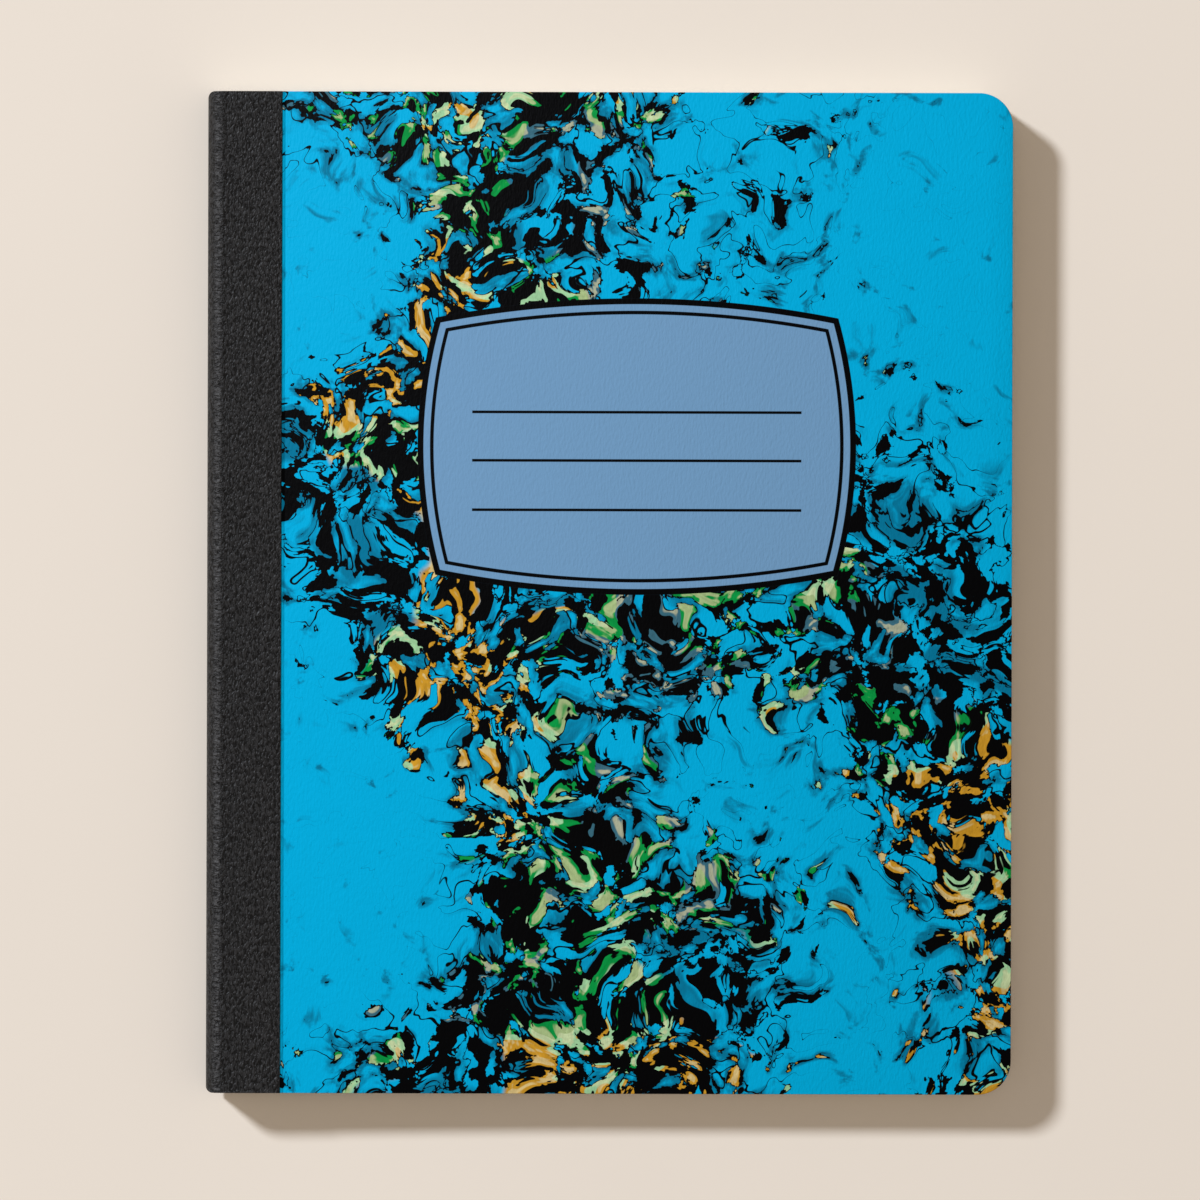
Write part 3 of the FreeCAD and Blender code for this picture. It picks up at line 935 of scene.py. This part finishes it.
def make_outer_sheet(ruled, edges):
    """The outermost sheet: its outside is the first and the last page."""
    vertices, faces = sheet_solid(0)
    piece = new_strip("outer_sheet", vertices, faces, [ruled, edges], SHARP_ANGLE)
    add_map(piece, BAKE_MAP, faces, bake_places)
    finish_leaves(piece)


STRIP_SIDES = ("tail", "head", "first", "last", "outer", "inner")
LEVEL_GAP = 0.1


def make_inner_sheets(edges):
    """The other sheets, nested in the outermost. Only their edges show, and each side of each sheet
    has a level of the bake's map of its own."""
    vertices, faces = [], []
    for sheet in range(1, SHEETS):
        new_vertices, new_faces = sheet_solid(sheet)
        start = len(vertices)
        vertices += new_vertices
        for side, corners in new_faces:
            level = len(STRIP_SIDES) * (sheet - 1) + STRIP_SIDES.index(side)
            faces.append((level, [(start + index, *rest) for index, *rest in corners]))
    piece = new_strip("inner_sheets", vertices, faces, [edges], SHARP_ANGLE)
    levels = len(STRIP_SIDES) * (SHEETS - 1)

    def level_places(level, corners):
        side = STRIP_SIDES[level % len(STRIP_SIDES)]
        places = []
        for _, around, along, deep in corners:
            right = along if side in ("first", "last") else around
            up = along if side in ("outer", "inner") else deep
            places.append((inset(right), (level + LEVEL_GAP + (1 - 2 * LEVEL_GAP) * up) / levels))
        return places

    add_map(piece, BAKE_MAP, faces, level_places)
    finish_leaves(piece)


# The floor dips a little left of the spine, so that the back cover, opened flat, lies on it.
FLOOR_REACH = (2.0, 1.0)
FLOOR_NEAR = 0.5
FLOOR_STEPS = 160
FLOOR_ROOM = 0.15 * MM
FLOOR_DIP = BOARD_THICK + TAPE_THICK + FLOOR_ROOM
DIP_WIDTH = 1.3 * (FORE_X - SPINE_X)
DIP_FADE = 0.12


def floor_height(x, y):
    across = ease(x / SPINE_X)
    beyond_left = ease((SPINE_X - DIP_WIDTH - x) / DIP_FADE)
    beyond_ends = ease((abs(y) - HALF_HEIGHT) / DIP_FADE)
    return -FLOOR_DIP * across * (1 - beyond_left) * (1 - beyond_ends)


def make_floor(material):
    near = np.linspace(-FLOOR_NEAR, FLOOR_NEAR, FLOOR_STEPS + 1)
    places = [*(-reach for reach in FLOOR_REACH), *near, *reversed(FLOOR_REACH)]
    count = len(places)
    vertices = [(x, y, floor_height(x, y)) for y in places for x in places]
    corners = [row * count + column for row in range(count - 1) for column in range(count - 1)]
    faces = [(a, a + 1, a + 1 + count, a + count) for a in corners]
    mesh = bpy.data.meshes.new("floor")
    mesh.from_pydata(vertices, [], faces)
    mesh.materials.append(material)
    floor = add_object("floor", mesh)
    for polygon in mesh.polygons:
        polygon.use_smooth = True


# the photograph, as it was measured: pixels, millimetres a pixel, its middle and its turn in degrees
PHOTO_SIZE = 1200
MM_PER_PIXEL = 0.2417
PHOTO_CENTRE = (-2.2 * MM, -1.7 * MM)
PHOTO_TURN = 0.15
# the lens and its sensor, in millimetres, and how far the camera sees, in metres
LENS = 200.0
SENSOR = 36.0
CAMERA_SIGHT = 20


def make_camera():
    """Looks straight down, from as far up as makes its frame at the front cover the photograph's."""
    data = bpy.data.cameras.new("camera")
    data.lens = LENS
    data.sensor_width = SENSOR
    data.clip_end = CAMERA_SIGHT
    camera = add_object("camera", data)
    frame_width = PHOTO_SIZE * MM_PER_PIXEL * MM
    camera.location = (*PHOTO_CENTRE, TOP + frame_width * LENS / SENSOR)
    camera.rotation_euler = (0, 0, math.radians(PHOTO_TURN))
    bpy.context.scene.camera = camera


LAMP_WAY = Vector((-0.79, 0.61, 0.0)).normalized()
LAMP_ELEVATION = 36.0
LAMP_DISTANCE = 5.5
LAMP_SIZE = 0.76
LAMP_POWER = 304.0
LAMP_COLOUR = (0.915, 0.98, 1.075)
FILL_COLOUR = (1.145, 1.0, 0.86, 1.0)
FILL_STRENGTH = 0.365


def make_light():
    """A large soft lamp from the upper left and an even fill."""
    angle = math.radians(LAMP_ELEVATION)
    way = LAMP_WAY * math.cos(angle) + Vector((0, 0, math.sin(angle)))
    data = bpy.data.lights.new("lamp", "AREA")
    data.shape = "DISK"
    data.size = LAMP_SIZE
    data.energy = LAMP_POWER
    data.color = LAMP_COLOUR
    lamp = add_object("lamp", data)
    lamp.location = way * LAMP_DISTANCE
    lamp.rotation_mode = "QUATERNION"
    lamp.rotation_quaternion = way.to_track_quat("Z", "Y")
    world = bpy.data.worlds.new("world")
    world.use_nodes = True
    background = world.node_tree.nodes["Background"]
    background.inputs["Color"].default_value = FILL_COLOUR
    background.inputs["Strength"].default_value = FILL_STRENGTH
    bpy.context.scene.world = world


# what part of the endless marbling each cover shows
FRONT_OFFSET = (-870.0, -620.0)
BACK_OFFSET = (310.0, 120.0)


def main():
    core, lining, cloth, edges = make_board_core(), make_lining(), make_tape_cloth(), make_leaf_edges()
    front_print = make_cover_print("front_print", True, FRONT_OFFSET)
    back_print = make_cover_print("back_print", False, BACK_OFFSET)
    make_board("front_cover_board", front_print, core, lining, True)
    make_board("back_cover_board", back_print, core, lining, False)
    make_tape("tape_front_half", cloth, True)
    make_tape("tape_back_half", cloth, False)
    make_outer_sheet(make_ruled_paper(), edges)
    make_inner_sheets(edges)
    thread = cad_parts["sewing_thread"]
    thread.data.materials.clear()
    thread.data.materials.append(make_thread_yarn())
    make_floor(make_floor_material())
    make_camera()
    make_light()
    bpy.context.scene.view_settings.view_transform = "Standard"


main()
